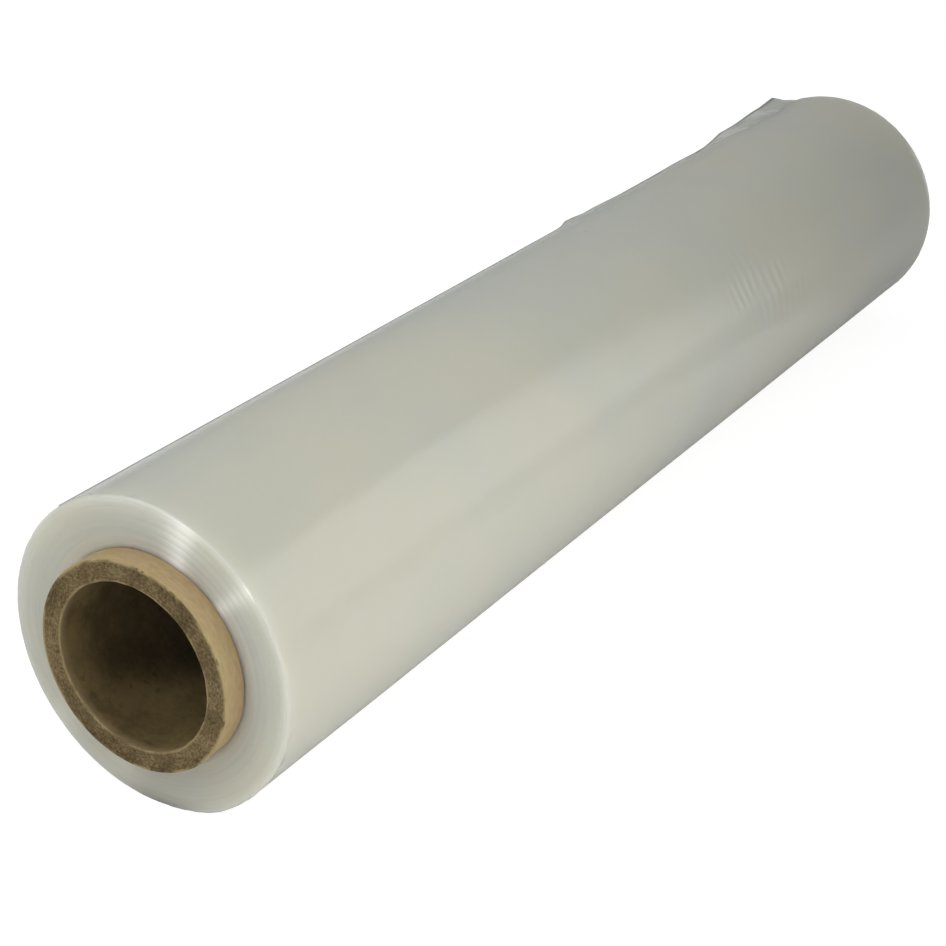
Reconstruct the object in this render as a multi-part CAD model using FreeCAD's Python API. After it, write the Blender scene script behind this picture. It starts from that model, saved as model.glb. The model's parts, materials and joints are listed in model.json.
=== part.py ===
import FreeCAD, Part

# Stretch wrap roll: clear cling film wound on a paper tube.
# The roll lies on its side. Its axis runs along Y, with the end that faces the viewer at -Y.
# Z is up. The origin is on the floor, under the middle of the roll.
# Angles round the roll are in degrees from +X towards +Z. All sizes are in millimetres.

import math
import os

# Paper tube
bore_diameter = 50.0        # clear hole for a dispenser's spindle
tube_wall = 6.0             # plies of kraft board, wound and glued
tube_overhang = 7.5         # bare tube that stands out past the film, each end
tube_edge_radius = 0.5      # worn corner of the sawn ends

# Wound film
film_width = 457.0          # the web is 18 inches wide
film_build = 15.3           # thickness of all the turns together
rim_stand = 1.0             # the outer turns wandered out past the web's width, each end
shoulder_radius = 0.8       # the outer turns round the end's corner
end_dish = 1.9              # the end face sinks this far, from its rim to the tube
band_count = 6              # bands of turns that wandered a little to one side
band_crown = 0.2            # how far each band bulges from the end face
flat_width = 14.0           # soft roll, pressed flat where it rests

# Loose end of the film, along the back of the roll
tail_thickness = 0.4
tail_step = 0.3             # stands this far above the turn below it where it clings
tail_root_depth = 0.8       # its root lies this deep in the turns
tail_edge_angle = 127.0     # where its free edge lies
tail_corner_angle = 124.0   # the same at the lifted corner, which curls back a little
tail_cling_span = 15.0      # degrees of arc from root to free edge where it clings
tail_corner_span = 17.0     # the same at the lifted corner
pucker_from_end = 192.0     # a small pucker starts this far from the far face
pucker_rise_length = 6.0
pucker_length = 48.0
pucker_lift = 1.0
corner_from_end = 74.0      # the far corner starts to lift this far from the far face
corner_lift = 4.0

tube_inner_radius = bore_diameter / 2
tube_outer_radius = tube_inner_radius + tube_wall
tube_length = film_width + 2 * tube_overhang
film_radius = tube_outer_radius + film_build
axis_height = math.sqrt(film_radius ** 2 - (flat_width / 2) ** 2)
rim_end = film_width / 2 + rim_stand


def on_profile(radius, along):
    """A point of a profile that is turned about the roll's axis."""
    return FreeCAD.Vector(radius, along, axis_height)


def on_roll(radius, angle, along):
    """A point at a radius and an angle round the roll's axis."""
    turn = math.radians(angle)
    return FreeCAD.Vector(radius * math.cos(turn), along, axis_height + radius * math.sin(turn))


def turned(edges):
    """The solid that a closed profile sweeps in one turn about the roll's axis."""
    face = Part.Face(Part.Wire(edges))
    return face.revolve(FreeCAD.Vector(0, 0, axis_height), FreeCAD.Vector(0, 1, 0), 360)


def make_tube():
    """Paper tube, sawn square, with its four corners worn round."""
    half = tube_length / 2
    blank = Part.makeCylinder(
        tube_outer_radius, tube_length, FreeCAD.Vector(0, -half, axis_height), FreeCAD.Vector(0, 1, 0))
    hole = Part.makeCylinder(
        tube_inner_radius, tube_length, FreeCAD.Vector(0, -half, axis_height), FreeCAD.Vector(0, 1, 0))
    tube = blank.cut(hole)
    rims = [edge for edge in tube.Edges if isinstance(edge.Curve, Part.Circle) and edge.isClosed()]
    return tube.makeFillet(tube_edge_radius, rims)


def end_face_edges(end):
    """Edges of one end face from the tube out to the roll's side. end is -1 or 1."""
    face = end * rim_end
    rim_radius = film_radius - shoulder_radius
    band = (rim_radius - tube_outer_radius) / band_count
    edges = []
    for index in range(band_count):
        inner = tube_outer_radius + index * band
        inner_along = face - end * end_dish * (1 - index / band_count)
        outer_along = face - end * end_dish * (1 - (index + 1) / band_count)
        crown_along = (inner_along + outer_along) / 2 + end * band_crown
        edges.append(Part.Arc(
            on_profile(inner, inner_along),
            on_profile(inner + band / 2, crown_along),
            on_profile(inner + band, outer_along)).toShape())
    middle = math.sqrt(0.5) * shoulder_radius
    edges.append(Part.Arc(
        on_profile(rim_radius, face),
        on_profile(rim_radius + middle, face - end * (shoulder_radius - middle)),
        on_profile(film_radius, face - end * shoulder_radius)).toShape())
    return edges


def make_wound_turns():
    """All the turns of film as one ring, with banded end faces and a flat where it rests."""
    near = end_face_edges(-1)
    far = end_face_edges(1)
    dished_end = rim_end - end_dish
    side_end = rim_end - shoulder_radius
    side = Part.LineSegment(on_profile(film_radius, -side_end), on_profile(film_radius, side_end)).toShape()
    inside = Part.LineSegment(
        on_profile(tube_outer_radius, dished_end), on_profile(tube_outer_radius, -dished_end)).toShape()
    ring = turned(near + [side] + far[::-1] + [inside])
    below_floor = Part.makeBox(
        2 * film_radius, 2 * rim_end, film_radius, FreeCAD.Vector(-film_radius, -rim_end, -film_radius))
    return ring.cut(below_floor)


def tail_section(along, lift, span, edge_angle):
    """Outline of the loose end across the roll: buried at its root, raised by lift at its free edge."""
    root_angle = edge_angle - span
    middle_angle = edge_angle - span / 2
    root_radius = film_radius - tail_root_depth
    edge_radius = film_radius + lift
    middle_radius = film_radius + (lift - tail_root_depth) / 4
    outer = Part.Arc(
        on_roll(root_radius, root_angle, along),
        on_roll(middle_radius, middle_angle, along),
        on_roll(edge_radius, edge_angle, along))
    inner = Part.Arc(
        on_roll(edge_radius - tail_thickness, edge_angle, along),
        on_roll(middle_radius - tail_thickness, middle_angle, along),
        on_roll(root_radius - tail_thickness, root_angle, along))
    free_edge = Part.LineSegment(outer.EndPoint, inner.StartPoint)
    root = Part.LineSegment(inner.EndPoint, outer.StartPoint)
    return Part.Wire([curve.toShape() for curve in (outer, free_edge, inner, root)])


def make_tail():
    """The film's free edge: it clings along the roll, puckers once and lifts at the far corner."""
    far = rim_end
    pucker = far - pucker_from_end
    clinging = (tail_cling_span, tail_edge_angle)
    lifted = (tail_corner_span, tail_corner_angle)
    stations = [
        (-far + shoulder_radius, tail_step, *clinging),
        (pucker, tail_step, *clinging),
        (pucker + pucker_rise_length, pucker_lift, *clinging),
        (pucker + pucker_length, tail_step, *clinging),
        (far - corner_from_end, tail_step, *clinging),
        (far - corner_from_end / 2, corner_lift * 0.6, *clinging),
        (far, corner_lift, *lifted),
    ]
    return Part.makeLoft([tail_section(*station) for station in stations], True, True)


def make_film():
    """The wound turns with the loose end fused to them, as one length of film."""
    return make_wound_turns().fuse(make_tail()).removeSplitter()


os.makedirs("parts", exist_ok=True)
make_tube().exportStep("parts/core_tube.step")
make_film().exportStep("parts/film_roll.step")
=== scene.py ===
import json
import math

import bpy
import numpy as np
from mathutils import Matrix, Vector, noise


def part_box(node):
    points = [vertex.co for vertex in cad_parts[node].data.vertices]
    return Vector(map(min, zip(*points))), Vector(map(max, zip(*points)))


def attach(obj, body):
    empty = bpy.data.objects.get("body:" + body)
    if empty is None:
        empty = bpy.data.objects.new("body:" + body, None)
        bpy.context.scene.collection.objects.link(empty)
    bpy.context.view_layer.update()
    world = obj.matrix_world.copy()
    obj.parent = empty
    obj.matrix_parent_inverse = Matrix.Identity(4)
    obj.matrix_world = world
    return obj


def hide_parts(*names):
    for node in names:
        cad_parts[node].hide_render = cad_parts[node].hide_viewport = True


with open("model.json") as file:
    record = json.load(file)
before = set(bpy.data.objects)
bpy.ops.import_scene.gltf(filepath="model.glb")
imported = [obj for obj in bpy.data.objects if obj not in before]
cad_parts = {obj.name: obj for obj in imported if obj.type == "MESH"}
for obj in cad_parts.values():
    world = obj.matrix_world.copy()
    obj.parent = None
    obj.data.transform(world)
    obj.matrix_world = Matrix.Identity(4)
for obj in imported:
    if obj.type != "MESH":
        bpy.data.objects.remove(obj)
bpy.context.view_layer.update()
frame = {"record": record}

MM = 0.001

# Paper tube
# The roll is wound on a stiff tube of kraft paper: narrow plies are glued and wound in a spiral round a
# mandrel, and the tube is sawn to length. The saw leaves the plies' edges dark, rough and fibrous, the
# outer ply stays smooth and tan, and the open bore is rubbed and blotched.
tube_low, tube_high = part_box("core_tube")
axis_height = (tube_low.z + tube_high.z) / 2
tube_outer_radius = (tube_high.x - tube_low.x) / 2
tube_half = (tube_high.y - tube_low.y) / 2
bore_radius = next(m["dims"]["r_mm"] for m in frame["record"]["mounts"] if m["name"] == "core_bore") * MM
ply_count = 12
ply_stagger = 0.10 * MM     # how unevenly the sawn plies stand
fibre_fuzz = 0.05 * MM
tube_corner = 0.35 * MM
mouth_lip = 0.4 * MM        # the saw dragged the inner ply's edge over the mouth this far
lip_length = 1.6 * MM       # how deep in the bore the lip starts
lip_width = 0.6 * MM        # how far it reaches across the sawn end
mouth_wear = (0.1 * MM, 0.5 * MM)       # paler from the mouth out: where it starts to fade and ends
corner_wear = (1.0 * MM, 0.3 * MM)      # paler near the outer corner: where it starts and is full
nick_reach = (2.2 * MM, 1.2 * MM)       # the same for the nicks
mouth_pale = (3.2 * MM, 1.0 * MM)       # the same for the bore near its mouth
outer_ply_relief = 0.06 * MM
sawn_relief = 0.3 * MM
bore_relief = 0.08 * MM
tube_steps_round = 288
outer_ply_rows = 61
rows_a_ply = 4              # across the sawn ends
mouth_rows = 9
bore_rows = 77
on_outer_ply, on_sawn_end, on_bore = range(3)       # the finish of a row of faces
kraft_tan = (0.435, 0.335, 0.165, 1)
kraft_pale = (0.50, 0.40, 0.225, 1)
kraft_pink = (0.45, 0.325, 0.19, 1)
sawn_dark = (0.072, 0.050, 0.019, 1)
sawn_brown = (0.165, 0.116, 0.049, 1)
sawn_light = (0.31, 0.232, 0.120, 1)
bore_brown = (0.225, 0.160, 0.062, 1)
bore_dark = (0.135, 0.095, 0.034, 1)
bore_mouth = (0.34, 0.265, 0.145, 1)


def closed_ring(name, points, finishes, finish_of_row):
    """A mesh piece from rows of points that run round the roll, closed both ways like a hoop."""
    rows, columns = points.shape[:2]
    row, column = np.meshgrid(np.arange(rows), np.arange(columns), indexing="ij")
    next_row = (row + 1) % rows
    next_column = (column + 1) % columns
    corners = [row * columns + column, row * columns + next_column,
               next_row * columns + next_column, next_row * columns + column]
    quads = np.stack(corners, -1).reshape(-1, 4)
    mesh = bpy.data.meshes.new(name)
    mesh.from_pydata(points.reshape(-1, 3).tolist(), [], quads.tolist())
    for finish in finishes:
        mesh.materials.append(finish)
    mesh.polygons.foreach_set("material_index", np.repeat(finish_of_row, columns).astype(np.int32))
    mesh.shade_smooth()
    mesh.update()
    piece = bpy.data.objects.new(name, mesh)
    bpy.context.scene.collection.objects.link(piece)
    return piece


def round_the_roll(radius, along, angle):
    """Points at a radius, a distance along the roll and an angle from +X towards +Z."""
    return np.stack([radius * np.cos(angle), along + 0 * angle, axis_height + radius * np.sin(angle)], -1)


def uneven(angle, place, waves, seed):
    """Smooth random values from about -1 to 1 round the roll, for each place along or across it."""
    values = np.empty(np.broadcast(angle, place).shape)
    for index, (turn, spot) in enumerate(zip(np.broadcast_to(angle, values.shape).flat,
                                             np.broadcast_to(place, values.shape).flat)):
        at = (waves * math.cos(turn), waves * math.sin(turn), spot)
        values.flat[index] = noise.noise(Vector(at) + Vector((seed, 2.3 * seed, 4.1 * seed)))
    return values * 1.6


def add(tree, kind, inputs=None, **settings):
    """Adds a node with its settings, and sets or links its inputs."""
    made = tree.nodes.new(kind)
    for key, value in settings.items():
        setattr(made, key, value)
    for key, value in (inputs or {}).items():
        if isinstance(value, bpy.types.NodeSocket):
            tree.links.new(value, made.inputs[key])
        else:
            made.inputs[key].default_value = value
    return made


def blank_finish(name):
    """A material with one Principled shader. Returns the material, its nodes and that shader."""
    finish = bpy.data.materials.new(name)
    finish.use_nodes = True
    tree = finish.node_tree
    return finish, tree, tree.nodes["Principled BSDF"]


def on_object(tree):
    """A point's place, in metres."""
    return add(tree, "ShaderNodeTexCoord").outputs["Object"]


def worked_out(tree, operation, *values):
    """A number worked out from others."""
    return add(tree, "ShaderNodeMath", dict(enumerate(values)), operation=operation).outputs[0]


def off_axis(tree):
    """A point's direction from the roll's axis, its distance from it and its place along it."""
    place = on_object(tree)
    across = add(tree, "ShaderNodeVectorMath", {0: place, 1: (0, 0, axis_height)}, operation="SUBTRACT")
    flat = add(tree, "ShaderNodeVectorMath", {0: across.outputs[0], 1: (1, 0, 1)}, operation="MULTIPLY")
    distance = add(tree, "ShaderNodeVectorMath", {0: flat.outputs[0]}, operation="LENGTH").outputs["Value"]
    direction = add(tree, "ShaderNodeVectorMath", {0: flat.outputs[0]}, operation="NORMALIZE").outputs[0]
    along = add(tree, "ShaderNodeSeparateXYZ", {0: place}).outputs["Y"]
    return direction, distance, along


def wound_coordinates(tree, round_scale, out_scale, along_scale):
    """Coordinates for a pattern that follows the winding, with no seam: drawn out round the roll."""
    direction, distance, along = off_axis(tree)
    out = worked_out(tree, "MULTIPLY", distance, out_scale)
    both = worked_out(tree, "MULTIPLY_ADD", along, along_scale, out)
    turned = add(tree, "ShaderNodeVectorMath", {0: direction, "Scale": round_scale}, operation="SCALE")
    lengthwise = add(tree, "ShaderNodeCombineXYZ", {"Y": both})
    return add(tree, "ShaderNodeVectorMath", {0: turned.outputs[0], 1: lengthwise.outputs[0]},
               operation="ADD").outputs[0]


def speckle(tree, vector, scale, detail=4.0, roughness=0.6):
    """Noise between 0 and 1."""
    return add(tree, "ShaderNodeTexNoise", {"Vector": vector, "Scale": scale, "Detail": detail,
                                            "Roughness": roughness}).outputs["Fac"]


def ramp(tree, value, stops):
    """Colours laid along a value."""
    made = add(tree, "ShaderNodeValToRGB", {"Fac": value})
    while len(made.color_ramp.elements) < len(stops):
        made.color_ramp.elements.new(0.5)
    for element, (position, colour) in zip(made.color_ramp.elements, stops):
        element.position = position
        element.color = colour
    return made.outputs["Color"]


def stretched(tree, value, low, high, to_low, to_high):
    """The value, moved from one range to another and held inside it."""
    return add(tree, "ShaderNodeMapRange", {"Value": value, "From Min": low, "From Max": high,
                                            "To Min": to_low, "To Max": to_high}).outputs["Result"]


def relief(tree, height, depth, under=None):
    """A bump from a height of 0 to 1 that stands for a depth in metres. It may lie on another under it."""
    inputs = {"Height": height, "Distance": depth}
    if under is not None:
        inputs["Normal"] = under
    return add(tree, "ShaderNodeBump", inputs).outputs["Normal"]


def blended(tree, share, first, second):
    """Two colours mixed by a share from 0 to 1."""
    made = add(tree, "ShaderNodeMix", {0: share}, data_type="RGBA")
    for socket, value in ((6, first), (7, second)):
        if isinstance(value, bpy.types.NodeSocket):
            tree.links.new(value, made.inputs[socket])
        else:
            made.inputs[socket].default_value = value
    return made.outputs[2]


def shaded(tree, colour, shade):
    """A colour darkened by another."""
    inputs = {0: 1.0, 6: colour, 7: shade}
    return add(tree, "ShaderNodeMix", inputs, data_type="RGBA", blend_type="MULTIPLY").outputs[2]


def kraft_outer_ply():
    """Smooth tan ply with fine fibres, a little pinker and paler in places."""
    finish, tree, shader = blank_finish("kraft_outer_ply")
    place = on_object(tree)
    cloudy = speckle(tree, place, scale=38, detail=3)
    wound = wound_coordinates(tree, round_scale=9, out_scale=300, along_scale=900)
    fibres = speckle(tree, wound, scale=1, detail=6, roughness=0.7)
    tone = ramp(tree, cloudy, [(0.35, kraft_pink), (0.5, kraft_tan), (0.66, kraft_pale)])
    shade = ramp(tree, fibres, [(0.3, (0.80, 0.77, 0.72, 1)), (0.62, (1, 1, 1, 1))])
    tree.links.new(shaded(tree, tone, shade), shader.inputs["Base Color"])
    tree.links.new(stretched(tree, fibres, 0.3, 0.7, 0.62, 0.78), shader.inputs["Roughness"])
    tree.links.new(relief(tree, fibres, outer_ply_relief), shader.inputs["Normal"])
    shader.inputs["Specular IOR Level"].default_value = 0.3
    return finish


def kraft_sawn_end():
    """Cut plies: dark brown, with fibres drawn out round the tube, pale worn corners and a few nicks."""
    finish, tree, shader = blank_finish("kraft_sawn_end")
    place = on_object(tree)
    wound = wound_coordinates(tree, round_scale=30, out_scale=2300, along_scale=0)
    streaks = speckle(tree, wound, scale=1, detail=3, roughness=0.55)
    crumbs = speckle(tree, place, scale=1300, detail=3, roughness=0.6)
    patches = speckle(tree, place, scale=85, detail=3)
    both = worked_out(tree, "MULTIPLY_ADD", crumbs, 0.6, streaks)
    level = stretched(tree, worked_out(tree, "MULTIPLY_ADD", patches, 0.9, both), 0.9, 1.6, 0, 1)
    tone = ramp(tree, level, [(0.12, sawn_dark), (0.5, sawn_brown), (0.9, sawn_light)])
    distance = off_axis(tree)[1]
    by_mouth = [bore_radius + width for width in mouth_wear]
    by_corner = [tube_outer_radius - width for width in corner_wear]
    by_nicks = [tube_outer_radius - width for width in nick_reach]
    mouth = stretched(tree, distance, *by_mouth, 0.55, 0)
    corner = stretched(tree, distance, *by_corner, 0, 1)
    both_edges = worked_out(tree, "ADD", mouth, corner)
    worn = worked_out(tree, "MULTIPLY", both_edges, stretched(tree, patches, 0.40, 0.52, 0.15, 1))
    rubbed = blended(tree, worn, tone, kraft_tan)
    nicks = stretched(tree, speckle(tree, place, scale=210, detail=2, roughness=0.5), 0.62, 0.68, 0, 1)
    nicked = worked_out(tree, "MULTIPLY", stretched(tree, distance, *by_nicks, 0, 0.8), nicks)
    tree.links.new(blended(tree, nicked, rubbed, sawn_dark), shader.inputs["Base Color"])
    tree.links.new(relief(tree, both, sawn_relief), shader.inputs["Normal"])
    shader.inputs["Roughness"].default_value = 0.92
    shader.inputs["Specular IOR Level"].default_value = 0.2
    return finish


def kraft_bore():
    """Inner ply: duller, rubbed and blotched, and paler over its last few millimetres to the mouth."""
    finish, tree, shader = blank_finish("kraft_bore")
    place = on_object(tree)
    blotches = speckle(tree, place, scale=75, detail=5, roughness=0.62)
    wound = wound_coordinates(tree, round_scale=10, out_scale=300, along_scale=700)
    fibres = speckle(tree, wound, scale=1, detail=6, roughness=0.7)
    spots = speckle(tree, place, scale=330, detail=3, roughness=0.6)
    tone = ramp(tree, blotches, [(0.38, bore_dark), (0.6, bore_brown)])
    stained = blended(tree, stretched(tree, spots, 0.62, 0.70, 0, 0.55), tone, sawn_dark)
    out = worked_out(tree, "ABSOLUTE", off_axis(tree)[2])
    mouth = stretched(tree, out, *[tube_half - depth for depth in mouth_pale], 0, 0.8)
    opened = blended(tree, mouth, stained, bore_mouth)
    shade = ramp(tree, fibres, [(0.3, (0.78, 0.76, 0.70, 1)), (0.65, (1, 1, 1, 1))])
    tree.links.new(shaded(tree, opened, shade), shader.inputs["Base Color"])
    tree.links.new(relief(tree, fibres, bore_relief), shader.inputs["Normal"])
    shader.inputs["Roughness"].default_value = 0.85
    shader.inputs["Specular IOR Level"].default_value = 0.25
    return finish


def dragged_lip(angle, along):
    """How far the inner ply's edge stands into the bore, all round."""
    return mouth_lip * (0.8 + 0.25 * uneven(angle, abs(along) * 20, waves=7, seed=11))


def paper_tube():
    """The tube's mesh: outer ply, far sawn end, bore and near sawn end, as rows round the axis."""
    angle = np.linspace(0, 2 * math.pi, tube_steps_round, endpoint=False)
    across = np.linspace(0, 1, rows_a_ply * ply_count + 1)[1:-1]
    rows, slots = [], []

    def row(radius, along, slot):
        rows.append(round_the_roll(radius, along, angle))
        slots.append(slot)

    def sawn_end(end, order):
        """Rows across one end. The corners are worn round, and each ply stands a little out or back."""
        for share in order:
            radius = bore_radius + share * (tube_outer_radius - bore_radius)
            from_edge = min(radius - bore_radius, tube_outer_radius - radius)
            worn = max(0.0, tube_corner - from_edge)
            rounding = tube_corner - math.sqrt(tube_corner ** 2 - worn ** 2)
            ply = min(int(share * ply_count), ply_count - 1)
            back = ply_stagger * (0.5 + 0.5 * uneven(angle, 3.7 * ply, waves=2.2, seed=5))
            back = back + fibre_fuzz * (0.5 + 0.5 * uneven(angle, radius * 4000, waves=34, seed=9))
            inside = min(1.0, from_edge / tube_corner)
            drawn_in = dragged_lip(angle, tube_half) * math.exp(-((radius - bore_radius) / lip_width) ** 2)
            along = end * (tube_half - rounding - inside * np.clip(back, 0, None))
            row(radius - drawn_in, along, on_sawn_end)

    # A row's finish is that of the faces on to the next row, so the last row before an end has the end's.
    for along in np.linspace(-1, 1, outer_ply_rows) * (tube_half - tube_corner):
        row(tube_outer_radius, along, on_outer_ply)
    slots[-1] = on_sawn_end
    sawn_end(1, across[::-1])
    deep = tube_half - 2 * lip_length
    mouth = np.linspace(deep, tube_half - tube_corner, mouth_rows)[1:]
    for along in np.concatenate([mouth[::-1], np.linspace(deep, -deep, bore_rows), -mouth]):
        lip = dragged_lip(angle, along) * math.exp(-((tube_half - abs(along)) / lip_length) ** 2)
        row(bore_radius - lip, along, on_bore)
    slots[-1] = on_sawn_end
    sawn_end(-1, across)
    return closed_ring("paper_core", np.array(rows), [kraft_outer_ply(), kraft_sawn_end(), kraft_bore()],
                       np.array(slots))


paper_core = paper_tube()
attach(paper_core, "root")
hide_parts("core_tube")

# Wound film
# A few hundred turns of clear cling film, pulled tight so that they look like one milky, glossy body. Each
# turn wanders a little to one side, so the end faces show fine rings and broad bands. The outer turns neck
# in at the rims and pucker there, and the film is ruffled in fine waves along one stretch of the side.
film_low, film_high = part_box("film_roll")
wave_room = 0.10 * MM       # left for waves and puckers inside the roll's own size
film_radius = film_high.x - wave_room
film_half = (film_high.y - film_low.y) / 2
shoulder = 1.0 * MM
end_dish = 1.4 * MM
band_count = 6
band_crown = 0.08 * MM
ring_jitter = 0.008 * MM    # single turns stand out or back this far on the end faces
end_bow = 0.12 * MM         # broad unevenness of the end faces
edge_lean = 0.36            # the turns' edges are drawn outwards, away from the tube, at this slope
rim_pucker = 0.09 * MM
pucker_reach = 5 * MM       # the puckers die out this far along the side
side_wave = 0.07 * MM
calm_length = 12 * MM       # the broad waves die out this far before the ends
ripple_depth = 0.042 * MM
ripple_pitch = 5.2 * MM
ripple_from = 33.0 * MM     # where the fine waves start and end along the roll
ripple_to = 104.0 * MM
ripple_angle = math.radians(24)
ripple_spread = math.radians(16)
nib_angle = math.radians(-66)
nib_reach = math.radians(11)
nib_lift = 0.7 * MM
nib_place = 1.2 * MM        # from the near rim
nib_length = 1.6 * MM
box_gap = 0.01 * MM         # kept clear inside the roll's own size
film_steps_round = 256
near_end_rows = 64
far_end_rows = 48
inside_rows = 5             # along the hole that the tube fills
plain_step = 3.2 * MM       # from row to row along the side
ruffled_step = 0.8 * MM
shoulder_bends = np.radians(np.linspace(12, 78, 7))
edges_show_to = math.radians(40)        # the turns' edges still show this far round the shoulder
on_side, on_end = range(2)              # the finish of a row of faces
film_depth = 18 * MM        # light scatters this deep in the turns
tube_glow_width = 5.0 * MM       # the painted warm glow reaches this far out from the tube
haze_relief = 0.012 * MM
ring_relief = 0.022 * MM
film_cool = (0.545, 0.555, 0.495, 1)
film_warm = (0.58, 0.57, 0.482, 1)
speck_grey = (0.25, 0.26, 0.22, 1)
# painted glow: the tube's colour scattered through the film, lightened against the shade by the tube
painted_tube_glow = (0.84, 0.76, 0.58, 1)
edge_cool = (0.61, 0.615, 0.535, 1)
edge_warm = (0.63, 0.615, 0.515, 1)


def milky(shader, deep):
    """Light goes into the turns, scatters over this depth and comes out again."""
    shader.inputs["IOR"].default_value = 1.5
    shader.inputs["Subsurface Weight"].default_value = 0.9
    shader.inputs["Subsurface Radius"].default_value = (1.0, 0.97, 0.85)
    shader.inputs["Subsurface Scale"].default_value = deep


def film_side_finish():
    """The outermost turn: smooth and glossy, with a faint haze."""
    finish, tree, shader = blank_finish("film_side")
    place = on_object(tree)
    cloudy = speckle(tree, place, scale=14, detail=2, roughness=0.5)
    haze = speckle(tree, place, scale=420, detail=3, roughness=0.6)
    cells = add(tree, "ShaderNodeTexVoronoi", {"Vector": place, "Scale": 33.0}).outputs
    spot = stretched(tree, cells["Distance"], 0.014, 0.034, 1, 0)
    chance = add(tree, "ShaderNodeSeparateColor", {0: cells["Color"]}).outputs[0]
    specks = worked_out(tree, "MULTIPLY", spot, stretched(tree, chance, 0.55, 0.9, 0, 0.4))
    body = ramp(tree, cloudy, [(0.38, film_cool), (0.62, film_warm)])
    tree.links.new(blended(tree, specks, body, speck_grey), shader.inputs["Base Color"])
    tree.links.new(relief(tree, haze, haze_relief), shader.inputs["Normal"])
    tree.links.new(stretched(tree, haze, 0.3, 0.7, 0.14, 0.22), shader.inputs["Roughness"])
    milky(shader, film_depth)
    return finish


def film_end_finish():
    """The turns' edges: faint rings, a gloss drawn out across them, and a painted warm glow near the tube.
    """
    finish, tree, shader = blank_finish("film_end")
    place = on_object(tree)
    distance = off_axis(tree)[1]
    cloudy = speckle(tree, place, scale=30, detail=2, roughness=0.5)
    wound = wound_coordinates(tree, round_scale=0.7, out_scale=1500, along_scale=0)
    rings = speckle(tree, wound, scale=1, detail=4, roughness=0.6)
    body = ramp(tree, cloudy, [(0.38, edge_cool), (0.62, edge_warm)])
    # Painted light: the tube's colour glowing through the film near it, lightened against the tube's shade.
    tube_glow_share = stretched(tree, distance, tube_outer_radius, tube_outer_radius + tube_glow_width, 1, 0)
    glow_tinted = blended(tree, tube_glow_share, body, painted_tube_glow)
    shade = ramp(tree, rings, [(0.3, (0.93, 0.93, 0.925, 1)), (0.6, (1, 1, 1, 1))])
    tree.links.new(shaded(tree, glow_tinted, shade), shader.inputs["Base Color"])
    outwards = stretched(tree, distance, tube_outer_radius, film_radius - shoulder, 1, 0)
    leaning = relief(tree, outwards, edge_lean * (film_radius - shoulder - tube_outer_radius))
    tree.links.new(relief(tree, rings, ring_relief, under=leaning), shader.inputs["Normal"])
    round_axis = add(tree, "ShaderNodeTangent", direction_type="RADIAL", axis="Y").outputs[0]
    tree.links.new(round_axis, shader.inputs["Tangent"])
    shader.inputs["Roughness"].default_value = 0.36
    shader.inputs["Anisotropic"].default_value = 1.0
    shader.inputs["Anisotropic Rotation"].default_value = 0.25
    shader.inputs["Specular IOR Level"].default_value = 0.9
    milky(shader, film_depth)
    return finish


def side_places():
    """Places along the roll's side: wide apart, and close together where the film is ruffled."""
    ends = film_half - shoulder
    before = np.arange(-ends, ripple_from, plain_step)
    ruffled = np.arange(ripple_from, ripple_to, ruffled_step)
    after = np.arange(ripple_to, ends, plain_step)
    return np.concatenate([before, ruffled, after, [ends]])


def side_waves(angle, along):
    """How far the side stands out or back: broad waves, the rims' puckers and the ruffled stretch."""
    to_end = min(1.0, (film_half - abs(along)) / calm_length)
    wave = side_wave * to_end * uneven(angle, along * 14, waves=1.6, seed=31)
    wave = wave + 0.4 * side_wave * to_end * uneven(angle, along * 45, waves=5, seed=37)
    fading = math.exp(-(film_half - abs(along)) / pucker_reach)
    end = math.copysign(1, along)
    wave = wave + 0.5 * rim_pucker * fading * uneven(angle, 2.4, waves=26, seed=13 + end)
    stretch = math.sin(math.pi * np.clip((along - ripple_from) / (ripple_to - ripple_from), 0, 1))
    turn = (angle - ripple_angle + math.pi) % (2 * math.pi) - math.pi
    window = np.exp(-turn ** 2 / ripple_spread ** 2)
    phase = 2 * math.pi * along / ripple_pitch + 2.0 * uneven(angle, along * 40, waves=4, seed=41)
    broken = np.clip(0.5 + 1.1 * uneven(angle, along * 60, waves=7, seed=43), 0, 1)
    return wave + ripple_depth * stretch ** 0.5 * window * broken * np.sin(phase)


def with_nib(points):
    """The roll's points with a small nib of film pulled out low on the near rim."""
    turn = np.arctan2(points[..., 2] - axis_height, points[..., 0]) - nib_angle
    from_nib = points[..., 1] + film_half - nib_place
    nib = nib_lift * np.exp(-(turn / nib_reach) ** 2 - (from_nib / nib_length) ** 2)
    points[..., 0] += nib * math.cos(nib_angle)
    points[..., 2] += nib * math.sin(nib_angle)
    return points


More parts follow.
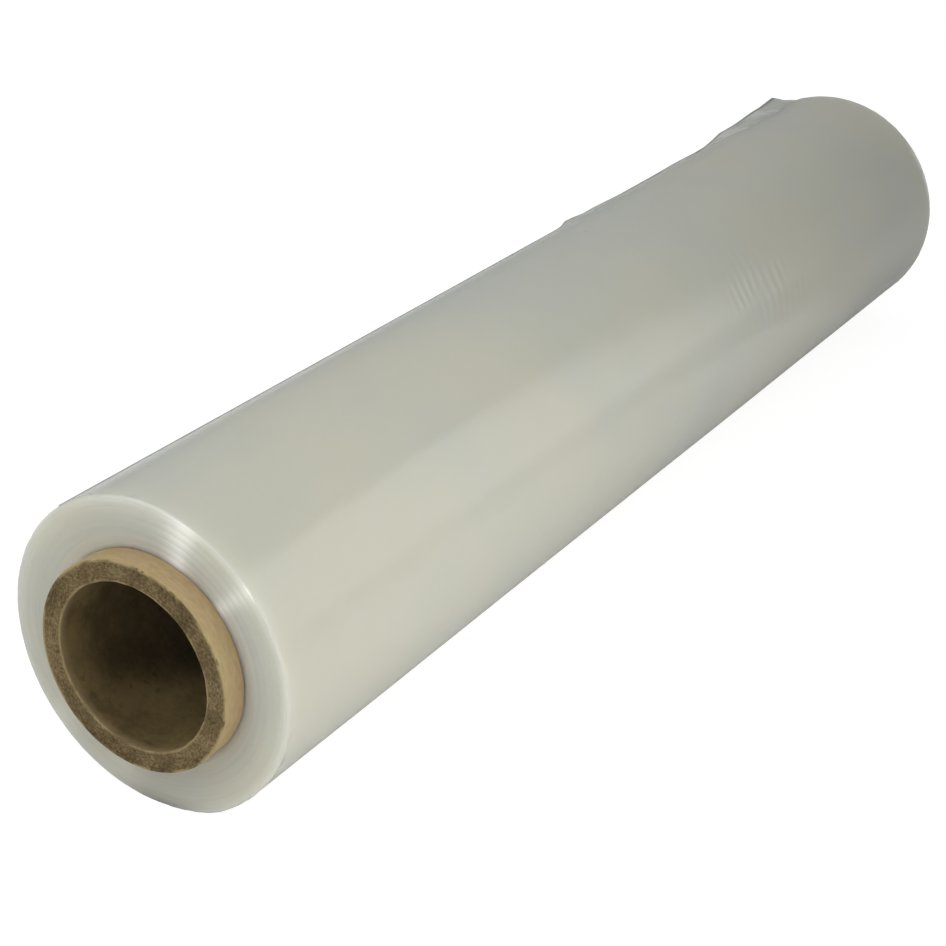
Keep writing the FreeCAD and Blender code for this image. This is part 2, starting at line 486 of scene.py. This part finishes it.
def wound_film():
    """The film's mesh: near end face and shoulder, side, far shoulder and end face, and the face inside."""
    angle = np.linspace(0, 2 * math.pi, film_steps_round, endpoint=False)
    rim = film_radius - shoulder
    rng = np.random.default_rng(7)
    rows, slots = [], []

    def row(radius, along, slot):
        rows.append(round_the_roll(radius, along, angle))
        slots.append(slot)

    def end_rows(end, order, count):
        stand = rng.normal(0, 1, count)
        for index in order:
            share = index / (count - 1)
            radius = tube_outer_radius + share * (rim - tube_outer_radius)
            band = share * band_count % 1
            crown = band_crown * 4 * band * (1 - band)
            inside = math.sin(math.pi * share) ** 0.5
            ring = ring_jitter * (stand[index] + 0.6 * uneven(angle, index * 0.9, waves=1.5, seed=3))
            bow = end_bow * uneven(angle, share * 2.0, waves=1.1, seed=21)
            out = film_half - end_dish * (1 - share) + crown + inside * (ring + bow)
            row(radius, end * out, on_end)

    def shoulder_rows(end, order):
        for bend in order:
            slot = on_end if bend < edges_show_to else on_side
            pucker = rim_pucker * math.sin(bend) * uneven(angle, bend * 1.5, waves=26, seed=13 + end)
            pucker = pucker + 0.5 * rim_pucker * uneven(angle, bend * 1.2, waves=9, seed=15 + end)
            radius = rim + shoulder * math.sin(bend) + pucker
            row(radius, end * (film_half - shoulder + shoulder * math.cos(bend)), slot)

    end_rows(-1, range(near_end_rows), near_end_rows)
    shoulder_rows(-1, shoulder_bends)
    for along in side_places():
        row(film_radius - side_wave + side_waves(angle, along), along, on_side)
    shoulder_rows(1, shoulder_bends[::-1])
    end_rows(1, range(far_end_rows)[::-1], far_end_rows)
    for along in np.linspace(1, -1, inside_rows) * (film_half - end_dish - shoulder):
        row(tube_outer_radius, along, on_end)
    points = np.array(rows)
    out = np.hypot(points[..., 0], points[..., 2] - axis_height)
    held = np.minimum(1, (film_high.x - box_gap) / out)
    points[..., 0] *= held
    points[..., 2] = axis_height + (points[..., 2] - axis_height) * held
    points = with_nib(points)
    # The soft roll is flat where it rests.
    points[..., 2] = np.maximum(points[..., 2], 0)
    return closed_ring("film_turns", points, [film_side_finish(), film_end_finish()], np.array(slots))


film_turns = wound_film()
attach(film_turns, "root")
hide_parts("film_roll")

# Loose end
# The last stretch of the film, a single ply cut across its width. It clings to the back of the roll by
# itself. It puckers once on the way, and at the far end its corner has come unstuck and stands off. Its
# cut edge has drawn up into a fine bead, painted dark grey for the shade along the roll's outline.
loose_edge_angle = math.radians(127)
tip_angle = math.radians(125.5)
loose_span = math.radians(17)
corner_span = math.radians(33)
tip_narrowing = 0.5         # at the tip only this share of the lifted width stands off
loose_ply = 0.08 * MM
loose_step = 0.10 * MM      # how far the clinging edge stands off
cling_depth = 0.4 * MM      # where it clings it is one with the turns, this deep in them
cling_edge = 1.6 * MM
edge_lifts = (              # how far the free edge stands off, at places from the near end face, in mm
    (0, 0.10), (267, 0.10), (271, 0.4), (274, 1.3), (280, 1.15), (287, 0.6), (295, 0.7), (307, 0.4),
    (315, 0.18), (343, 0.2), (360, 0.45), (370, 0.4), (380, 0.15), (389, 0.4), (398, 1.3), (406, 2.4),
    (413, 2.4), (421, 2.6), (429, 3.1), (437, 3.6), (445, 3.75), (453, 4.4), (459, 4.85))
lift_blend = 0.3 * MM       # it comes off the turns over this much of a lift
least_opening = math.radians(4)         # the arc that a small lift takes up
pucker_near = 255 * MM      # these places, too, are from the near end face
pucker_far = 320 * MM
widens_from = 300 * MM
widens_to = 390 * MM
corner_from = 380 * MM
tip_from = 400 * MM
narrow_from = 420 * MM
crease_place = 406 * MM     # small sharp creases
crease_angle = math.radians(105)
crease_reach = 9 * MM
crease_height = 0.22 * MM
crease_relief = 0.10 * MM
bead_width = 0.7 * MM
bead_height = 0.12 * MM
bead_rows = 7
on_ply, on_bead = range(2)  # the finish of a face
# painted shade: the bead's greys darken the roll's outline where the loose end runs along it
bead_shade_grey = (0.26, 0.26, 0.245, 1)
bead_shade_pale = (0.351, 0.351, 0.33075, 1)
loose_film_pale = (0.72, 0.72, 0.68, 1)


def eased(value, start, end):
    """0 before start, 1 after end, and a smooth rise between."""
    share = np.clip((value - start) / (end - start), 0, 1)
    return share * share * (3 - 2 * share)


def loose_film_finish():
    """One clear ply, so what lies behind shows a little where it stands off the roll."""
    finish, tree, shader = blank_finish("loose_film")
    place = on_object(tree)
    creases = speckle(tree, place, scale=60, detail=2, roughness=0.45)
    tree.links.new(relief(tree, creases, crease_relief), shader.inputs["Normal"])
    tree.links.new(stretched(tree, creases, 0.35, 0.65, 0.18, 0.30), shader.inputs["Roughness"])
    cloudy = speckle(tree, place, scale=60, detail=2)
    tone = ramp(tree, cloudy, [(0.35, film_cool), (0.65, loose_film_pale)])
    tree.links.new(tone, shader.inputs["Base Color"])
    shader.inputs["Alpha"].default_value = 0.85
    return finish


def bead_shade_finish():
    """The cut edge seen through its width, painted darker for the shade along the roll's outline, and
    glossy.
    """
    finish, tree, shader = blank_finish("film_cut_edge_shade")
    place = on_object(tree)
    worn = speckle(tree, place, scale=90, detail=3)
    tone = ramp(tree, worn, [(0.3, bead_shade_grey), (0.7, bead_shade_pale)])
    tree.links.new(tone, shader.inputs["Base Color"])
    shader.inputs["Roughness"].default_value = 0.4
    return finish


def loose_places():
    """Places along the loose end, closer together at the pucker and at the lifted corner."""
    far = 2 * film_half
    return np.concatenate([
        np.linspace(shoulder, pucker_near, 60),
        np.linspace(pucker_near, pucker_far, 60)[1:],
        np.linspace(pucker_far, corner_from, 30)[1:],
        np.linspace(corner_from, far, 110)[1:]])


def free_edge_lift(from_near):
    """How far the free edge stands off the roll, with its corners eased a little."""
    places, lifts = np.array(edge_lifts).T * MM
    lift = np.interp(from_near, places, lifts)
    lift[1:-1] = np.convolve(lift, np.array([0.25, 0.5, 0.25]), "valid")
    return lift


def loose_film_points():
    """Rows of points from the root over the outside to the free edge, and back over the inside."""
    far = 2 * film_half
    from_near = loose_places()
    along = from_near - film_half
    free_angle = loose_edge_angle + (tip_angle - loose_edge_angle) * eased(from_near, tip_from, far)
    span = loose_span + (corner_span - loose_span) * eased(from_near, widens_from, widens_to)
    width = span * film_radius
    loose = np.clip(free_edge_lift(from_near) - loose_step, 0, None)
    # The lifted part is a flat sheet that leaves the round roll at a tangent.
    open_span = np.maximum(np.arccos(1 / (1 + loose / film_radius)), least_opening)
    open_span = open_span * (1 - (1 - tip_narrowing) * eased(from_near, narrow_from, far))
    edge_share = 1 - bead_width / (loose_span * film_radius)
    across = np.concatenate([
        np.linspace(0, 0.5, 14),
        np.linspace(0.5, edge_share, 24)[1:],
        np.linspace(edge_share, 1, bead_rows)[1:]])
    outer, inner = [], []
    for share in across:
        angle = free_angle - span * (1 - share)
        opened = np.clip(1 - span * (1 - share) / open_span, 0, 1)
        wrinkle = np.array([noise.noise(Vector((55 * y, 8 * share, 3.0))) for y in along])
        fine = np.array([noise.noise(Vector((330 * y, 20 * share, 8.0))) for y in along])
        edge = eased(width * share, width - cling_edge, width - cling_edge / 4)
        free = eased(opened, 0, 0.2) * eased(loose, 0, lift_blend)
        stand = -cling_depth + (cling_depth + loose_step) * np.maximum(edge, free) + loose * opened ** 2
        stand = stand + loose * opened * (1 - opened) * (0.7 * wrinkle + 0.2 * fine)
        off_crease = (from_near - crease_place) ** 2 + (film_radius * (angle - crease_angle)) ** 2
        creased = np.exp(-off_crease / crease_reach ** 2)
        stand = stand + crease_height * creased * np.clip(1 - 7 * np.abs(fine), 0, 1)
        hump = (share - edge_share) / (1 - edge_share)
        bead = bead_height * math.sqrt(max(0.0, 4 * hump * (1 - hump))) if hump > 0 else 0.0
        outer.append(round_the_roll(film_radius + stand + loose_ply + bead, along, angle))
        inner.append(round_the_roll(film_radius + stand - 0.3 * bead, along, angle))
    return np.array(outer + inner[::-1])


def loose_film():
    """A thin sheet over the roll, buried at its root and free at its edge, with a bead along the edge."""
    points = loose_film_points()
    rows, columns = points.shape[:2]
    first_bead_row = rows // 2 - bead_rows
    quads, slots = [], []
    for row in range(rows):
        after = (row + 1) % rows
        slot = on_bead if first_bead_row <= row < rows - 1 - first_bead_row else on_ply
        for column in range(columns - 1):
            quads.append((row * columns + column, row * columns + column + 1,
                          after * columns + column + 1, after * columns + column))
            slots.append(slot)
    for column, backwards in ((0, False), (columns - 1, True)):
        for row in range(rows // 2 - 1):
            cap = [row, row + 1, rows - 2 - row, rows - 1 - row]
            quads.append(tuple(r * columns + column for r in (cap[::-1] if backwards else cap)))
            slots.append(on_bead)
    mesh = bpy.data.meshes.new("loose_end")
    mesh.from_pydata(points.reshape(-1, 3).tolist(), [], quads)
    mesh.materials.append(loose_film_finish())
    mesh.materials.append(bead_shade_finish())
    mesh.polygons.foreach_set("material_index", slots)
    mesh.shade_smooth()
    mesh.update()
    piece = bpy.data.objects.new("loose_end", mesh)
    bpy.context.scene.collection.objects.link(piece)
    return piece


loose_end = loose_film()
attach(loose_end, "root")

# Pale floor
# A wide level floor of matt white board for the roll to lie on. It runs on far past the roll, so that no
# edge of it is seen.
floor_reach = 30.0
floor_white = (0.80, 0.80, 0.80, 1)
floor_veil = (0.28, 0.28, 0.28, 1)          # the lamps' light and shade that the camera sees on the white
glow_by_roll = 0.90         # the white's strength near the roll, and further off
glow_far_off = 1.0
glow_from = 0.8
glow_to = 2.5
painted_shade_by_roll = (0.02, 0.17, 0.07, 1.0)     # a painted shade in the film's gloss, to the roll's right: from, to, and how open it is
painted_shade_beyond = (-0.02, 0.11, 0.04, 0.95)    # the same past the roll's far end, right of a slanting edge that paints a band into the film's reflections
slant = 0.54                # the edge's run to the right for each metre along
beyond_from = 0.19          # the far part takes over between these places along
beyond_to = 0.24


def floor_finish():
    """Pale and matt. The camera sees it white, with soft shadows. In the film's gloss the white is painted
    by place: white only to the roll's right and past its far end, and a painted shade close by the roll."""
    finish, tree, shader = blank_finish("pale_floor")
    tree.nodes.remove(shader)
    place = on_object(tree)
    reach = add(tree, "ShaderNodeVectorMath", {0: place}, operation="LENGTH").outputs["Value"]
    strength = stretched(tree, reach, glow_from, glow_to, glow_by_roll, glow_far_off)
    matt = add(tree, "ShaderNodeBsdfDiffuse", {"Color": floor_white}).outputs[0]
    veil = add(tree, "ShaderNodeBsdfDiffuse", {"Color": floor_veil}).outputs[0]
    rays = add(tree, "ShaderNodeLightPath").outputs
    glow = add(tree, "ShaderNodeEmission", {"Strength": strength}).outputs[0]
    lit = add(tree, "ShaderNodeAddShader", {0: veil, 1: glow}).outputs[0]
    spot = add(tree, "ShaderNodeSeparateXYZ", {0: place}).outputs
    # Painted shade: the glow that the film reflects is dimmed by place, not by any shadow.
    by_roll = stretched(tree, spot["X"], *painted_shade_by_roll)
    right_of_edge = worked_out(tree, "MULTIPLY_ADD", spot["Y"], -slant, spot["X"])
    beyond = stretched(tree, right_of_edge, *painted_shade_beyond)
    past_end = stretched(tree, spot["Y"], beyond_from, beyond_to, 0, 1)
    places = {0: past_end, 2: by_roll, 3: beyond}
    painted_gloss_share = add(tree, "ShaderNodeMix", places, data_type="FLOAT").outputs[0]
    in_gloss = worked_out(tree, "MULTIPLY", rays["Is Glossy Ray"], painted_gloss_share)
    seen = worked_out(tree, "MAXIMUM", rays["Is Camera Ray"], in_gloss)
    seen = worked_out(tree, "MAXIMUM", seen, rays["Is Transmission Ray"])
    both = add(tree, "ShaderNodeMixShader", {0: seen, 1: matt, 2: lit}).outputs[0]
    tree.links.new(both, tree.nodes["Material Output"].inputs["Surface"])
    return finish


floor_mesh = bpy.data.meshes.new("floor")
floor_corners = [(x * floor_reach, y * floor_reach, 0) for x, y in ((-1, -1), (1, -1), (1, 1), (-1, 1))]
floor_mesh.from_pydata(floor_corners, [], [(0, 1, 2, 3)])
floor_mesh.materials.append(floor_finish())
floor = bpy.data.objects.new("floor", floor_mesh)
bpy.context.scene.collection.objects.link(floor)

# Light
# Soft boxes stand in front of the near end on the left, one high and one low, at its right, above the
# roll and behind it. Two small lamps and a tall panel far off behind the right show in reflections alone:
# a streak and a glint on the near end face, and a faint broad band along the side. The room is pale.


def soft_box(name, place, aim, size, power, colour):
    """A lamp of a width and a height that faces a point and stays out of the view itself."""
    light = bpy.data.lights.new(name, "AREA")
    light.shape = "RECTANGLE"
    light.size, light.size_y = size
    light.energy = power
    light.color = colour
    lamp = bpy.data.objects.new(name, light)
    lamp.location = place
    lamp.rotation_euler = (Vector(aim) - Vector(place)).to_track_quat("-Z", "Y").to_euler()
    lamp.visible_camera = False
    bpy.context.scene.collection.objects.link(lamp)
    return lamp


near_end = (0, -0.2, 0.04)
near_half = (0, -0.12, 0.04)
middle = (0, 0, 0.04)
low_left = (-0.29, -1.145, 0.36)
room_tint = (0.96, 0.985, 1, 1)
room_level = 0.325

soft_box("front_high", (-0.25, -0.86, 0.76), near_end, (0.2, 0.2), 2.15, (1, 1, 1))
soft_box("front_low", low_left, near_end, (0.22, 0.22), 0.9, (1, 1, 0.99))
soft_box("right", (0.36, -0.22, 0.17), near_half, (0.25, 0.35), 0.75, (1, 0.995, 0.97))
soft_box("overhead", (-0.25, -0.20, 0.60), near_half, (0.4, 0.5), 1.15, (1, 1, 1))
behind_left = soft_box("behind_left", (-0.6, 0.5, 0.7), middle, (0.5, 0.5), 0.5, (1, 1, 1))
behind_left.visible_glossy = False
streak = soft_box("streak", low_left, near_end, (0.08, 0.08), 2.6, (1, 1, 1))
glint = soft_box("glint", (0.42, -0.95, 0.40), near_end, (0.04, 0.04), 4.4, (1, 1, 1))
far_panel = soft_box("far_panel", (2.41, 1.785, 1.05), middle, (2.7, 2.1), 23.0, (1, 1, 0.96))
for lamp in (streak, glint, far_panel):
    lamp.visible_diffuse = False

world = bpy.data.worlds.new("pale_room")
world.use_nodes = True
world.node_tree.nodes["Background"].inputs["Color"].default_value = room_tint
world.node_tree.nodes["Background"].inputs["Strength"].default_value = room_level
bpy.context.scene.world = world

# View
# From above and to the right of the near end, as in the photograph. The place and angles come from fitting
# a view to the roll's outline there.
view_place = (0.32125, -0.58721, 0.32412)
view_azimuth = math.radians(31.618)
view_elevation = math.radians(25.363)
view_roll = math.radians(0.068)
view_lens = 78.654          # mm, with the sensor's width
view_sensor = 36

camera = bpy.data.cameras.new("view")
camera.lens = view_lens
camera.sensor_width = view_sensor
viewer = bpy.data.objects.new("view", camera)
viewer.location = view_place
looking = Vector((-math.sin(view_azimuth) * math.cos(view_elevation),
                  math.cos(view_azimuth) * math.cos(view_elevation), -math.sin(view_elevation)))
viewer.rotation_euler = looking.to_track_quat("-Z", "Y").to_euler()
viewer.rotation_euler.rotate_axis("Z", view_roll)
bpy.context.scene.collection.objects.link(viewer)
bpy.context.scene.camera = viewer
bpy.context.scene.view_settings.view_transform = "Standard"
